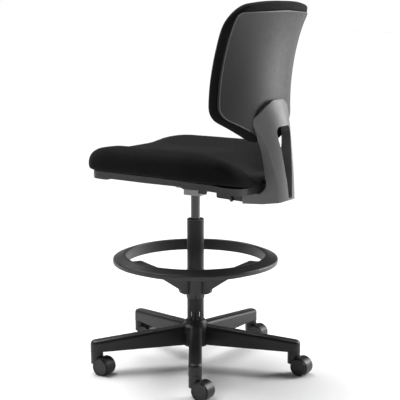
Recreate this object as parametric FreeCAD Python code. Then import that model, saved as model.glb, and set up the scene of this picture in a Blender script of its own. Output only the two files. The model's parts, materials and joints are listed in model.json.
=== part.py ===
import FreeCAD, Part
import math
import os

from FreeCAD import Vector

# Drafting chair. Millimetres, +Z up, origin on the floor under the column.
# The chair faces -Y, and +X is the seated person's left.

# ---- driving dimensions -------------------------------------------------------------

FIT = 0.05                     # radial clearance of a running fit
SKIN = 0.3                     # gap between a soft solid and its neighbour

ARMS = 5
ARM_TURN = 33.0                # degrees from +X to the first arm and to the middle of the ring
STEM_CIRCLE_R = 307.4
ARM_HALF_WIDTH = 19.0
ARM_TIP_BOTTOM = 67.2
ARM_TIP_TOP = 99.0
ARM_HUB_BOTTOM = 64.0
ARM_HUB_TOP = 126.0
ARM_WALL = 4.0
HUB_R = 40.0
HUB_TOP = 137.0
HUB_BOTTOM = 58.0

COLUMN_R = 25.4
COLUMN_WALL = 2.0
COLUMN_BOTTOM = 60.0
COLUMN_TOP = 446.5
COLUMN_FLOOR = 4.0
SLITS = 12
SLIT_BOTTOM = 139.0
SLIT_TOP = 166.0
SLIT_WIDTH = 2.0
BUSH_LENGTH = 58.0
BUSH_FLANGE = 3.0

CYLINDER_R = 14.0
CYLINDER_BOTTOM = 188.0
CYLINDER_TOP = 545.0
CYLINDER_WALL = 2.0
ROD_R = 5.0
ROD_TOP = 400.0
PISTON_LENGTH = 14.0
RELEASE_PIN_R = 3.0
RELEASE_PIN_TOP = 551.0
RELEASE_PIN_LENGTH = 26.0

RING_OUTER_R = 248.4
RING_INNER_R = 209.6
RING_INNER_TOP = 342.0
RING_OUTER_TOP = 331.5
RING_OUTER_BOTTOM = 319.0
RING_INNER_BOTTOM = 308.0
RING_SKIN = 3.5
SPOKES = 3
SPOKE_TURN = ARM_TURN + 60.0   # one spoke stands in line with the rear of the ring
SPOKE_WIDTH = 12.0
RING_HUB_R = 29.6
RING_HUB_BOTTOM = 219.0
RING_HUB_TOP = 284.0
COLLET_R = 27.6
COLLET_BOTTOM = 206.0
COLLET_TOP = 292.0
COLLET_SLOTS = 6

WHEEL_R = 25.0
WHEEL_OUTER_X = 24.0
WHEEL_INNER_X = 4.0
CASTER_TRAIL = 26.0
AXLE_R = 4.0
HOOD_R = 27.8
HOOD_GAP = 0.6
HOOD_HALF_WIDTH = 19.0
NECK_R = 18.6
STEM_R = 5.5

HUB_BLOCK_BOTTOM = 521.5
HOUSING_BOTTOM = 541.0
HOUSING_FRONT_BOTTOM = 551.0
HOUSING_REAR_BOTTOM = 548.0
FLANGE_BOTTOM = 532.0
FLANGE_FRONT = 33.0
FLANGE_REAR = 62.0
HOUSING_HALF_WIDTH = 36.0
HOUSING_FRONT = -56.0
HOUSING_REAR = 66.0
HOUSING_TOP = 566.0
HOUSING_REAR_TOP = 553.0
SHEET = 3.0

PIVOT_Y = -30.0
PIVOT_Z = 556.0
PIVOT_R = 6.0
TILT_PLATE_Z = 573.0
TILT_PLATE_THICK = 4.0
TILT_PLATE_HALF_WIDTH = 84.0
TILT_PLATE_FRONT = -112.0
TILT_PLATE_REAR = 140.0
EAR_X = 37.0

SPRING_Y = (-82.0, -60.0)      # ends of the tilt spring, ahead of the housing
TENSION_Z = 560.0
TENSION_BOLT_R = 4.0
KNOB_R = 12.5
KNOB_FRONT = -138.0

LEVER_PIVOT_X = -26.0
LEVER_Z = 556.0
LEVER_ROD_R = 4.0
LEVER_END_X = -222.0

BRACKET_HALF_WIDTH = 45.0
BRACKET_FRONT = 102.0
BRACKET_REAR = 191.6
BRACKET_BOTTOM = 528.0
LOCK_X = 49.5
LOCK_Y = 147.0
LOCK_Z = 541.0

SEAT_SCREW_X = 66.0
SEAT_SCREW_Y = (-92.0, 60.0)
SEAT_SCREW_R = 4.0
SEAT_SCREW_TOP = 594.0

PAN_HALF_WIDTH = 216.0
PAN_REAR_HALF_WIDTH = 176.0
PAN_FRONT = -240.0
PAN_REAR = 248.0
PAN_FRONT_R = 45.0
PAN_REAR_R = 76.0
PAN_WALL = 3.5
BOARD_THICK = 9.0
BOARD_GAP = 1.0                # between the pan's floor and the seat board
BOARD_REAR = 165.0
# (Y, height) along the side band's upper and lower edges, and under the pan's floor:
# level at the front, dipping at the rear
PAN_TOP_LINE = [(-300, 603.0), (0, 600.2), (100, 595.8), (190, 588.0), (235, 580.0), (300, 566.0)]
PAN_BAND_LINE = [(-300, 589.0), (-244, 587.0), (-228, 580.0), (-170, 579.0), (-152, 583.0),
                 (83, 580.0), (190, 570.0), (235, 559.5), (300, 545.0)]
PAN_FLOOR_LINE = [(-300, 590.0), (-244, 588.0), (-228, 582.5), (-170, 581.5), (-152, 584.5),
                  (83, 581.0), (190, 574.5), (235, 564.0), (300, 548.0)]

CUSHION_HALF_WIDTH = 231.0
CUSHION_REAR_HALF_WIDTH = 186.0
CUSHION_FRONT = -257.0
CUSHION_REAR = 253.0
CUSHION_FRONT_R = 60.0
CUSHION_REAR_R = 98.0
# (Y, height) over the cushion's crown
CUSHION_TOP_LINE = [(-300, 655.0), (-215, 674.0), (300, 674.0)]
# (height, how far the outline stands in from its fullest)
CUSHION_SECTIONS = [(566.0, 18.0), (592.0, 12.0), (612.0, 3.0), (632.0, 0.0), (652.0, 3.0),
                    (668.0, 20.0), (677.0, 48.0)]

BACK_TOP = 1089.0
BACK_SHOULDER_Z = 1071.0
BACK_BOTTOM = 697.0
BACK_HALF_WIDTH = 210.0
BACK_CORNER_Z = 772.0
BACK_CORNER_R = 66.0
SHELL_SIDE_INSET = 10.0        # how far the upholstery stands out round the shell
SHELL_LOW_INSET = 15.0
SHELL_TOP = 1063.0
SHELL_SHOULDER_Z = 1057.0
SHELL_CORNER_R = 20.0
BACK_EDGE_THICK = 24.0
BACK_MIDDLE_THICK = 50.0
SHELL_THICK = 6.0
SHELL_PROUD = 2.0              # the rest of the shell's thickness is let into the upholstery
# (height, Y of the upholstery's rear face at the side edge, how far the centre bows rearward)
BACK_PROFILE = [
    (660.0, 197.0, 70.0),
    (760.0, 192.5, 71.0),
    (820.0, 194.0, 71.0),
    (880.0, 199.5, 67.0),
    (935.0, 209.5, 61.0),
    (985.0, 223.0, 55.0),
    (1035.0, 243.0, 48.0),
    (1110.0, 282.0, 40.0),
]

# (height, Y of the rear face at the centre, plan radius of that face, half-width,
#  Y of the front face at its edges, how far the front face bows rearward)
UPRIGHT_PROFILE = [
    (500.0, 322.0, 98.0, 58.0, 266.0, 4.0),
    (572.0, 319.5, 98.0, 60.0, 266.0, 4.0),
    (625.0, 315.0, 100.0, 66.0, 263.0, 12.0),
    (676.0, 309.5, 103.0, 76.0, 256.0, 20.0),
    (730.0, 302.0, 114.0, 94.0, 240.0, 31.0),
    (775.0, 292.0, 136.0, 112.0, 222.0, 36.0),
    (835.0, 272.0, 260.0, 118.0, 208.0, 36.0),
]
J_BOTTOM = 519.5
J_TOP = 552.0
J_FRONT = 192.0
J_REAR = 327.0


# ---- helpers ------------------------------------------------------------------------

def plan(z):
    """Places an outline's (u, v) at height z."""
    return lambda u, v: Vector(u, v, z)


def front(y):
    """Places an outline's (u, v) as X and Z, in the plane at y."""
    return lambda u, v: Vector(u, y, v)


def side(x):
    """Places an outline's (u, v) as Y and Z, in the plane at x."""
    return lambda u, v: Vector(x, u, v)


def rounded_wire(corners, place):
    """A closed wire through (u, v, radius) corners."""
    passes = []
    for i, (u, v, radius) in enumerate(corners):
        here = Vector(u, v, 0)
        back = Vector(*corners[i - 1][:2], 0) - here
        ahead = Vector(*corners[(i + 1) % len(corners)][:2], 0) - here
        back.normalize()
        ahead.normalize()
        if radius == 0:
            passes.append((here, None, here))
            continue
        half = back.getAngle(ahead) / 2
        bisector = back + ahead
        bisector.normalize()
        reach = radius / math.tan(half)
        middle = here + bisector * (radius / math.sin(half) - radius)
        passes.append((here + back * reach, middle, here + ahead * reach))
    edges = []
    for i, (enter, middle, leave) in enumerate(passes):
        if middle:
            arc = [place(p.x, p.y) for p in (enter, middle, leave)]
            edges.append(Part.Arc(*arc).toShape())
        after = passes[(i + 1) % len(passes)][0]
        if leave.distanceToPoint(after) > 1e-6:
            edges.append(Part.makeLine(place(leave.x, leave.y), place(after.x, after.y)))
    return Part.Wire(edges)


def prism(corners, place, along):
    """The outline of (u, v, radius) corners, extruded by the vector along."""
    return Part.Face(rounded_wire(corners, place)).extrude(along)


def sharp(points):
    """Corners with no rounding."""
    return [(u, v, 0) for u, v in points]


def turned(points):
    """The outline of (radius, height) points, turned about Z."""
    face = Part.Face(Part.makePolygon([Vector(r, 0, z) for r, z in points + points[:1]]))
    return face.revolve(Vector(0, 0, 0), Vector(0, 0, 1), 360)


def rod(radius, start, end):
    """A round bar between two points."""
    along = Vector(*end) - Vector(*start)
    return Part.makeCylinder(radius, along.Length, Vector(*start), along)


def box(low, high):
    size = Vector(*high) - Vector(*low)
    return Part.makeBox(size.x, size.y, size.z, Vector(*low))


def rounded_edges(shape, radius, wanted):
    """Rounds the edges whose middle point the test picks."""
    edges = [e for e in shape.Edges if wanted(e.valueAt((e.FirstParameter + e.LastParameter) / 2))]
    return shape.makeFillet(radius, edges)


def spun(shape, degrees):
    """A copy turned about the column's axis."""
    copy = shape.copy()
    copy.rotate(Vector(0, 0, 0), Vector(0, 0, 1), degrees)
    return copy


def moved(shape, x, y, z):
    copy = shape.copy()
    copy.translate(Vector(x, y, z))
    return copy


def fused(shapes):
    return shapes[0].multiFuse(shapes[1:]).removeSplitter()


def save(name, shape):
    shape.exportStep(f"parts/{name}.step")


def save_group(name, shapes):
    save(name, Part.makeCompound(shapes))


# ---- base and column ----------------------------------------------------------------

def arm_plan(half_width, end):
    return [(0, -half_width, 0), (end + half_width, -half_width, half_width * 0.999),
            (end + half_width, half_width, half_width * 0.999), (0, half_width, 0)]


def star_arm():
    """One arm along +X: deep at the hub, rounded on top, hollow and ribbed beneath."""
    reach = STEM_CIRCLE_R + ARM_HALF_WIDTH
    outline = sharp([(0, ARM_HUB_BOTTOM), (reach + 1, ARM_TIP_BOTTOM),
                     (reach + 1, ARM_TIP_TOP), (0, ARM_HUB_TOP)])
    profile = prism(outline, lambda u, v: Vector(u, -30, v), Vector(0, 60, 0))
    blank = prism(arm_plan(ARM_HALF_WIDTH, STEM_CIRCLE_R), plan(40), Vector(0, 0, 120))
    solid = blank.common(profile)
    solid = rounded_edges(solid, 11.0, lambda p: p.z > 90 and abs(p.y) + max(0, p.x - 300) > 15 and p.x > 1)
    inner = ARM_HALF_WIDTH - ARM_WALL
    roof = sharp([(HUB_R - 6, 40), (STEM_CIRCLE_R - ARM_HALF_WIDTH, 40),
                  (STEM_CIRCLE_R - ARM_HALF_WIDTH, ARM_TIP_TOP - 8), (HUB_R - 6, ARM_HUB_TOP - 16)])
    hollow = prism(roof, lambda u, v: Vector(u, -inner, v), Vector(0, 2 * inner, 0))
    hollow = rounded_edges(hollow, 8.0, lambda p: p.z > 88 and abs(p.y) > 10)
    solid = solid.cut(hollow)
    ribs = []
    for x in range(80, 280, 50):
        web = box((x - 1.5, -inner - 1, ARM_TIP_BOTTOM + 5), (x + 1.5, inner + 1, 84))
        ribs.append(web)
    ribs.append(box((HUB_R - 8, -1.5, ARM_TIP_BOTTOM + 5), (STEM_CIRCLE_R - ARM_HALF_WIDTH + 1, 1.5, 84)))
    return fused([solid] + ribs)


def star_base():
    arm = star_arm()
    arms = [spun(arm, ARM_TURN + 360 / ARMS * n) for n in range(ARMS)]
    hub = turned([(0, HUB_BOTTOM), (HUB_R - 4, HUB_BOTTOM), (HUB_R, HUB_BOTTOM + 4), (HUB_R + 5, 112),
                  (HUB_R + 2, 120), (HUB_R - 6, 127), (COLUMN_R + 6, 134), (COLUMN_R + 4, HUB_TOP),
                  (0, HUB_TOP)])
    body = fused([hub] + arms)
    body = body.cut(rod(COLUMN_R + FIT, (0, 0, 40), (0, 0, 160)))
    sockets = []
    for n in range(ARMS):
        socket = rod(STEM_R + FIT, (STEM_CIRCLE_R, 0, 50), (STEM_CIRCLE_R, 0, 92))
        sockets.append(spun(socket, ARM_TURN + 360 / ARMS * n))
    return body.cut(Part.makeCompound(sockets))


def column_tube():
    bore = COLUMN_R - COLUMN_WALL
    tube = turned([(ROD_R + FIT, COLUMN_BOTTOM), (COLUMN_R, COLUMN_BOTTOM), (COLUMN_R, COLUMN_TOP),
                   (bore, COLUMN_TOP), (bore, COLUMN_BOTTOM + COLUMN_FLOOR),
                   (ROD_R + FIT, COLUMN_BOTTOM + COLUMN_FLOOR)])
    slit = box((bore - 2, -SLIT_WIDTH / 2, SLIT_BOTTOM), (COLUMN_R + 2, SLIT_WIDTH / 2, SLIT_TOP))
    slits = [spun(slit, ARM_TURN + 360 / SLITS * n) for n in range(SLITS)]
    return tube.cut(Part.makeCompound(slits))


def column_guide_bush():
    """Plastic bush in the tube's top, with the flange that shows as a bright rim."""
    inner = CYLINDER_R + FIT
    outer = COLUMN_R - COLUMN_WALL - 0.02
    top = COLUMN_TOP + BUSH_FLANGE
    return turned([(inner, COLUMN_TOP - BUSH_LENGTH), (outer, COLUMN_TOP - BUSH_LENGTH),
                   (outer, COLUMN_TOP), (COLUMN_R, COLUMN_TOP), (COLUMN_R, top - 1.5),
                   (COLUMN_R - 1.5, top), (inner, top)])


def thrust_bearing():
    low = COLUMN_BOTTOM + COLUMN_FLOOR
    return turned([(ROD_R + FIT, low), (14, low), (14, low + 2), (12.5, low + 2), (12.5, low + 5),
                   (14, low + 5), (14, low + 7), (ROD_R + FIT, low + 7)])


# ---- gas lift -----------------------------------------------------------------------

def lift_rod():
    """The piston rod: its shoulder stands on the thrust bearing."""
    low = COLUMN_BOTTOM + COLUMN_FLOOR + 7
    return turned([(0, COLUMN_BOTTOM - 7), (ROD_R - 1, COLUMN_BOTTOM - 7), (ROD_R, COLUMN_BOTTOM - 6),
                   (ROD_R, low), (11, low), (11, low + 4), (ROD_R, low + 4), (ROD_R, ROD_TOP), (0, ROD_TOP)])


def rod_clip():
    """Spring clip under the tube's floor."""
    ring = turned([(ROD_R + 0.02, COLUMN_BOTTOM - 3), (10, COLUMN_BOTTOM - 3), (10, COLUMN_BOTTOM - 1),
                   (ROD_R + 0.02, COLUMN_BOTTOM - 1)])
    return ring.cut(box((-3, 0, COLUMN_BOTTOM - 4), (3, 12, COLUMN_BOTTOM)))


def piston():
    bore = CYLINDER_R - CYLINDER_WALL - FIT
    return turned([(0, ROD_TOP), (bore, ROD_TOP), (bore, ROD_TOP + 4), (bore - 2, ROD_TOP + 4),
                   (bore - 2, ROD_TOP + 8), (bore, ROD_TOP + 8), (bore, ROD_TOP + PISTON_LENGTH),
                   (0, ROD_TOP + PISTON_LENGTH)])


def gas_cylinder():
    """Pressure tube: a gland at its foot, a valve head at its top with the release pin's bore."""
    bore = CYLINDER_R - CYLINDER_WALL
    gland_top = CYLINDER_BOTTOM + 12
    head = CYLINDER_TOP - 30
    return turned([(ROD_R + FIT, CYLINDER_BOTTOM), (CYLINDER_R - 1, CYLINDER_BOTTOM),
                   (CYLINDER_R, CYLINDER_BOTTOM + 1), (CYLINDER_R, CYLINDER_TOP - 1),
                   (CYLINDER_R - 1, CYLINDER_TOP), (RELEASE_PIN_R + FIT, CYLINDER_TOP),
                   (RELEASE_PIN_R + FIT, head), (bore, head), (bore, gland_top),
                   (ROD_R + FIT, gland_top)])


def release_pin():
    foot = RELEASE_PIN_TOP - RELEASE_PIN_LENGTH
    return turned([(0, foot), (RELEASE_PIN_R, foot), (RELEASE_PIN_R, RELEASE_PIN_TOP - 1),
                   (RELEASE_PIN_R - 1, RELEASE_PIN_TOP), (0, RELEASE_PIN_TOP)])


# ---- foot ring ----------------------------------------------------------------------

def foot_ring():
    """An inverted channel with a sloping tread, three deep spokes and a hub."""
    middle_low = RING_INNER_BOTTOM + 2
    tread = Part.Face(rounded_wire([
        (RING_INNER_R, RING_INNER_BOTTOM, 1.5), (RING_INNER_R, RING_INNER_TOP, 3.0),
        (RING_INNER_R + 9, RING_INNER_TOP + 0.5, 6.0), (RING_OUTER_R, RING_OUTER_TOP, 5.0),
        (RING_OUTER_R, RING_OUTER_BOTTOM, 1.5), (RING_OUTER_R - RING_SKIN, RING_OUTER_BOTTOM, 0),
        (RING_OUTER_R - RING_SKIN, RING_OUTER_TOP - 4, 0),
        (RING_INNER_R + RING_SKIN, RING_INNER_TOP - 5, 0), (RING_INNER_R + RING_SKIN, RING_INNER_BOTTOM, 0),
    ], lambda u, v: Vector(u, 0, v)))
    ring = tread.revolve(Vector(0, 0, 0), Vector(0, 0, 1), 360)
    spoke = prism([
        (RING_INNER_R + 2, RING_INNER_TOP - 2, 0), (182, RING_INNER_TOP - 2, 20), (120, 309, 30),
        (26, 258, 0), (26, 219, 0), (42, 220.5, 6), (53, 226, 5), (56, 237, 5), (116, 277.5, 30),
        (160, RING_INNER_BOTTOM, 20), (RING_INNER_R + 2, middle_low, 0),
    ], lambda u, v: Vector(u, -SPOKE_WIDTH / 2, v), Vector(0, SPOKE_WIDTH, 0))
    spokes = [spun(spoke, SPOKE_TURN + 360 / SPOKES * n) for n in range(SPOKES)]
    hub = turned([(COLLET_R - 4, RING_HUB_BOTTOM), (RING_HUB_R, RING_HUB_BOTTOM),
                  (RING_HUB_R, RING_HUB_TOP - 2), (RING_HUB_R - 1, RING_HUB_TOP), (COLLET_R - 4, RING_HUB_TOP)])
    body = fused([ring, hub] + spokes)
    return body.cut(rod(COLLET_R + FIT, (0, 0, 200), (0, 0, 300)))


def foot_ring_collet():
    """Slotted sleeve that grips the column when the ring is turned on it."""
    sleeve = turned([(COLUMN_R + FIT, COLLET_BOTTOM), (COLLET_R - 0.8, COLLET_BOTTOM),
                     (COLLET_R, COLLET_BOTTOM + 2), (COLLET_R, COLLET_TOP - 1),
                     (COLLET_R - 1, COLLET_TOP), (COLUMN_R + FIT, COLLET_TOP)])
    slot = box((20, -1.6, COLLET_BOTTOM - 1), (32, 1.6, COLLET_BOTTOM + 11))
    slots = [spun(slot, ARM_TURN + 360 / COLLET_SLOTS * n) for n in range(COLLET_SLOTS)]
    return sleeve.cut(Part.makeCompound(slots))


# ---- casters, built with the stem on the origin's axis --------------------------------

def x_cylinder(radius, x0, x1, y=CASTER_TRAIL, z=WHEEL_R):
    return rod(radius, (x0, y, z), (x1, y, z))


def caster_hood():
    """Hood over both wheels: a neck on the stem, a half-drum shell and a middle web."""
    neck = rod(NECK_R, (0, 0, 30), (0, 0, ARM_TIP_BOTTOM - 2.2))
    lip = rod(NECK_R + 0.8, (0, 0, ARM_TIP_BOTTOM - 2.2), (0, 0, ARM_TIP_BOTTOM - 0.4))
    drum = x_cylinder(HOOD_R, -HOOD_HALF_WIDTH, HOOD_HALF_WIDTH)
    drum = rounded_edges(drum, 1.5, lambda p: True)
    keep = prism(sharp([(-30, 44), (-12, 36), (CASTER_TRAIL, 30), (CASTER_TRAIL + 14, 6),
                        (CASTER_TRAIL + 40, 6), (CASTER_TRAIL + 40, 70), (-30, 70)]),
                 side(-40), Vector(80, 0, 0))
    shell = fused([neck, lip, drum.common(keep)])
    bay = HOOD_R - 2.2
    for sign in (-1, 1):
        near = sign * (WHEEL_INNER_X - 0.6)
        far = sign * 40
        shell = shell.cut(x_cylinder(bay, near, far))
    web = x_cylinder(bay + 0.5, -WHEEL_INNER_X + 0.6, WHEEL_INNER_X - 0.6)
    web = web.common(prism(sharp([(-20, 24), (CASTER_TRAIL - 9, 14), (CASTER_TRAIL + 9, 14),
                                  (CASTER_TRAIL + 30, 22), (CASTER_TRAIL + 30, 60), (-20, 60)]),
                           side(-10), Vector(20, 0, 0)))
    body = fused([shell, web])
    body = body.cut(x_cylinder(AXLE_R + 0.02, -20, 20))
    return body.cut(rod(STEM_R + 0.02, (0, 0, 48), (0, 0, 80)))


def caster_stem():
    return turned([(0, 48.5), (STEM_R, 48.5), (STEM_R, 84), (STEM_R - 1.2, 85), (STEM_R - 1.2, 87),
                   (STEM_R, 88), (STEM_R - 1.5, 91), (0, 91)])


def caster_axle():
    return x_cylinder(AXLE_R, -WHEEL_OUTER_X + 5, WHEEL_OUTER_X - 5)


def caster_wheel(sign):
    """A disc with a raised rim outside, a recess inside and a blind hub on the axle."""
    face = sign * WHEEL_OUTER_X
    inner = sign * WHEEL_INNER_X
    wheel = x_cylinder(WHEEL_R, inner, face)
    wheel = rounded_edges(wheel, 1.6, lambda p: True)
    wheel = wheel.cut(x_cylinder(WHEEL_R - 3.2, face, face - sign * 1.4))
    recess = x_cylinder(WHEEL_R - 4.5, inner, face - sign * 5)
    recess = recess.cut(x_cylinder(AXLE_R + 4, inner, face))
    wheel = wheel.cut(recess)
    return wheel.cut(x_cylinder(AXLE_R + FIT, inner, face - sign * 4.5))


def save_casters():
    pieces = {
        "hood": caster_hood(),
        "stem": caster_stem(),
        "axle": caster_axle(),
        "wheel_left": caster_wheel(1),
        "wheel_right": caster_wheel(-1),
    }
    for n in range(ARMS):
        angle = math.radians(ARM_TURN + 360 / ARMS * n)
        x = STEM_CIRCLE_R * math.cos(angle)
        y = STEM_CIRCLE_R * math.sin(angle)
        for name, shape in pieces.items():
            save(f"caster_{n + 1}_{name}", moved(shape, x, y, 0))


# ---- mechanism ----------------------------------------------------------------------

def mechanism_hub():
    """Cast block on the gas cylinder's head."""
    block = box((-22.5, -29.5, HUB_BLOCK_BOTTOM), (22.5, 29.5, HOUSING_BOTTOM))
    block = rounded_edges(block, 4.0, lambda p: abs(p.x) > 22 and abs(p.y) > 29)
    block = rounded_edges(block, 1.5, lambda p: p.z < HUB_BLOCK_BOTTOM + 0.1)
    return block.cut(rod(CYLINDER_R + 0.02, (0, 0, 500), (0, 0, 560)))


def mechanism_housing():
    """Pressed steel tray open at the top, lower at the rear to clear the tilting plate."""
    wide = HOUSING_HALF_WIDTH
    outline = [(HOUSING_FRONT, HOUSING_FRONT_BOTTOM, 2), (-32, HOUSING_FRONT_BOTTOM, 4),
               (-24, HOUSING_BOTTOM, 4), (30, HOUSING_BOTTOM, 4), (38, HOUSING_REAR_BOTTOM, 4),
               (HOUSING_REAR, HOUSING_REAR_BOTTOM, 3), (HOUSING_REAR, HOUSING_REAR_TOP, 1),
               (PIVOT_Y + 14, HOUSING_TOP, 6), (HOUSING_FRONT, HOUSING_TOP, 1)]
    tray = prism(outline, side(-wide), Vector(2 * wide, 0, 0))
    inside = sharp([(HOUSING_FRONT + SHEET, HOUSING_FRONT_BOTTOM + SHEET), (-30, HOUSING_FRONT_BOTTOM + SHEET),
                    (-22, HOUSING_BOTTOM + SHEET), (28, HOUSING_BOTTOM + SHEET),
                    (36, HOUSING_REAR_BOTTOM + SHEET), (HOUSING_REAR - SHEET, HOUSING_REAR_BOTTOM + SHEET),
                    (HOUSING_REAR - SHEET, 600), (HOUSING_FRONT + SHEET, 600)])
    tray = tray.cut(prism(inside, side(-wide + SHEET), Vector(2 * (wide - SHEET), 0, 0)))
    flange = [(FLANGE_FRONT, FLANGE_BOTTOM, 3), (FLANGE_REAR, FLANGE_BOTTOM, 6),
              (FLANGE_REAR, HOUSING_REAR_BOTTOM + 2, 0), (FLANGE_FRONT, HOUSING_REAR_BOTTOM + 2, 0)]
    tray = fused([tray] + [prism(flange, side(x), Vector(SHEET, 0, 0)) for x in (-wide, wide - SHEET)])
    tray = tray.cut(rod(CYLINDER_R + 0.02, (0, 0, 500), (0, 0, 560)))
    tray = tray.cut(rod(PIVOT_R + 0.02, (-60, PIVOT_Y, PIVOT_Z), (60, PIVOT_Y, PIVOT_Z)))
    tray = tray.cut(rod(TENSION_BOLT_R + FIT, (0, -120, TENSION_Z), (0, HOUSING_FRONT + 10, TENSION_Z)))
    lever_gap = box((-wide - 5, -7, LEVER_Z - 7), (-wide + 5, 7, 600))
    bore = rod(2.5 + 0.02, (LEVER_PIVOT_X, -40, LEVER_Z), (LEVER_PIVOT_X, 40, LEVER_Z))
    lugs = [box((LEVER_PIVOT_X - 5, y, HOUSING_BOTTOM + SHEET - 0.5), (LEVER_PIVOT_X + 5, y + 3, LEVER_Z + 5))
            for y in (-13, 10)]
    return fused([tray.cut(lever_gap)] + lugs).cut(bore)


def tilt_pivot_pin():
    reach = EAR_X + 6
    shaft = rod(PIVOT_R, (-reach, PIVOT_Y, PIVOT_Z), (reach, PIVOT_Y, PIVOT_Z))
    head = rod(PIVOT_R + 3, (reach, PIVOT_Y, PIVOT_Z), (reach + 3, PIVOT_Y, PIVOT_Z))
    return fused([shaft, head])


def tilt_plate():
    """Seat plate with two ears on the pivot pin and stiffening flanges."""
    wide = TILT_PLATE_HALF_WIDTH
    top = TILT_PLATE_Z + TILT_PLATE_THICK
    sheet = prism([(-wide, TILT_PLATE_FRONT, 12), (wide, TILT_PLATE_FRONT, 12),
                   (wide, TILT_PLATE_REAR, 12), (-wide, TILT_PLATE_REAR, 12)],
                  plan(TILT_PLATE_Z), Vector(0, 0, TILT_PLATE_THICK))
    ears = []
    for x in (-EAR_X - 4, EAR_X):
        ear = prism([(PIVOT_Y - 30, top - 1, 0), (PIVOT_Y - 13, PIVOT_Z - 11, 9),
                     (PIVOT_Y + 13, PIVOT_Z - 11, 9), (PIVOT_Y + 20, top - 1, 0)],
                    side(x), Vector(4, 0, 0))
        ears.append(ear)
    plate = fused([sheet] + ears)
    plate = plate.cut(rod(PIVOT_R + FIT, (-60, PIVOT_Y, PIVOT_Z), (60, PIVOT_Y, PIVOT_Z)))
    return plate.cut(Part.makeCompound(screw_holes(TILT_PLATE_Z - 1, top + 1)))


def tension_bolt():
    """Screw that the knob turns to load the tilt spring."""
    return rod(TENSION_BOLT_R, (0, KNOB_FRONT + 6, TENSION_Z), (0, HOUSING_FRONT + 14, TENSION_Z))


def tension_knob():
    knob = rod(KNOB_R, (0, KNOB_FRONT, TENSION_Z), (0, KNOB_FRONT + 22, TENSION_Z))
    knob = rounded_edges(knob, 2.5, lambda p: p.y < KNOB_FRONT + 1)
    grips = []
    for n in range(8):
        angle = math.radians(45 * n)
        x = (KNOB_R + 1) * math.cos(angle)
        z = TENSION_Z + (KNOB_R + 1) * math.sin(angle)
        grips.append(rod(2.6, (x, KNOB_FRONT - 1, z), (x, KNOB_FRONT + 23, z)))
    knob = knob.cut(Part.makeCompound(grips))
    return knob.cut(rod(TENSION_BOLT_R + 0.02, (0, KNOB_FRONT + 6, TENSION_Z), (0, KNOB_FRONT + 30, TENSION_Z)))


def tilt_spring():
    """Closely wound compression spring, drawn as its envelope with a groove for each coil."""
    low, high = SPRING_Y
    coils = 5
    pitch = (high - low) / coils
    tube = rod(11.0, (0, low, TENSION_Z), (0, high, TENSION_Z))
    tube = tube.cut(rod(6.5, (0, low - 1, TENSION_Z), (0, high + 1, TENSION_Z)))
    for n in range(1, coils):
        y = low + pitch * n
        groove = rod(12.0, (0, y - 0.5, TENSION_Z), (0, y + 0.5, TENSION_Z))
        tube = tube.cut(groove.cut(rod(8.5, (0, y - 1, TENSION_Z), (0, y + 1, TENSION_Z))))
    return tube


def spring_washer():
    """Steel cup that carries the spring's front end."""
    y = SPRING_Y[0]
    cup = rod(13.0, (0, y - 3, TENSION_Z), (0, y - 0.05, TENSION_Z))
    return cup.cut(rod(TENSION_BOLT_R + FIT, (0, y - 5, TENSION_Z), (0, y + 1, TENSION_Z)))


def height_lever():
    """Cranked rod: its inner end bears on the release pin, its outer end carries the grip."""
    inner = rod(LEVER_ROD_R, (6, 0, LEVER_Z), (LEVER_PIVOT_X, 0, LEVER_Z))
    outer = rod(LEVER_ROD_R, (LEVER_PIVOT_X, 0, LEVER_Z), (-120, 0, LEVER_Z))
    bend = Part.makeSphere(LEVER_ROD_R, Vector(-120, 0, LEVER_Z))
    drop = rod(LEVER_ROD_R, (-120, 0, LEVER_Z), (LEVER_END_X, 0, LEVER_Z - 14))
    boss = rod(5.0, (LEVER_PIVOT_X, -9.5, LEVER_Z), (LEVER_PIVOT_X, 9.5, LEVER_Z))
    pins = rod(2.5, (LEVER_PIVOT_X, -13.5, LEVER_Z), (LEVER_PIVOT_X, 13.5, LEVER_Z))
    return fused([inner, outer, bend, drop, boss, pins])


def lever_grip():
    """Flat paddle on the lever's outer end."""
    paddle = prism([(LEVER_END_X - 16, -13, 10), (-178, -13, 8), (-178, 13, 8), (LEVER_END_X - 16, 13, 10)],
                   plan(LEVER_Z - 20), Vector(0, 0, 11))
    slope = math.degrees(math.atan2(14, -120 - LEVER_END_X))
    paddle.rotate(Vector(-178, 0, LEVER_Z - 8), Vector(0, 1, 0), -slope)
    paddle.translate(Vector(0, 0, 6.5))
    cut = rod(LEVER_ROD_R + 0.02, (-120, 0, LEVER_Z), (LEVER_END_X - 0.02, 0, LEVER_Z - 14.002))
    return paddle.cut(cut)


def back_bracket():
    """Pressed channel under the seat that receives the back upright's foot."""
    wide = BRACKET_HALF_WIDTH
    outline = [(BRACKET_FRONT, BRACKET_BOTTOM, 5), (BRACKET_REAR, BRACKET_BOTTOM - 4, 3),
               (BRACKET_REAR, TILT_PLATE_Z - 0.05, 0), (BRACKET_FRONT, TILT_PLATE_Z - 0.05, 0)]
    channel = prism(outline, side(-wide), Vector(2 * wide, 0, 0))
    channel = channel.cut(box((-wide + SHEET, BRACKET_FRONT + SHEET, BRACKET_BOTTOM + SHEET),
                              (wide - SHEET, BRACKET_REAR + 1, TILT_PLATE_Z - SHEET)))
    return channel.cut(rod(3.0 + FIT, (wide - 10, LOCK_Y, LOCK_Z), (wide + 10, LOCK_Y, LOCK_Z)))


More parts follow.
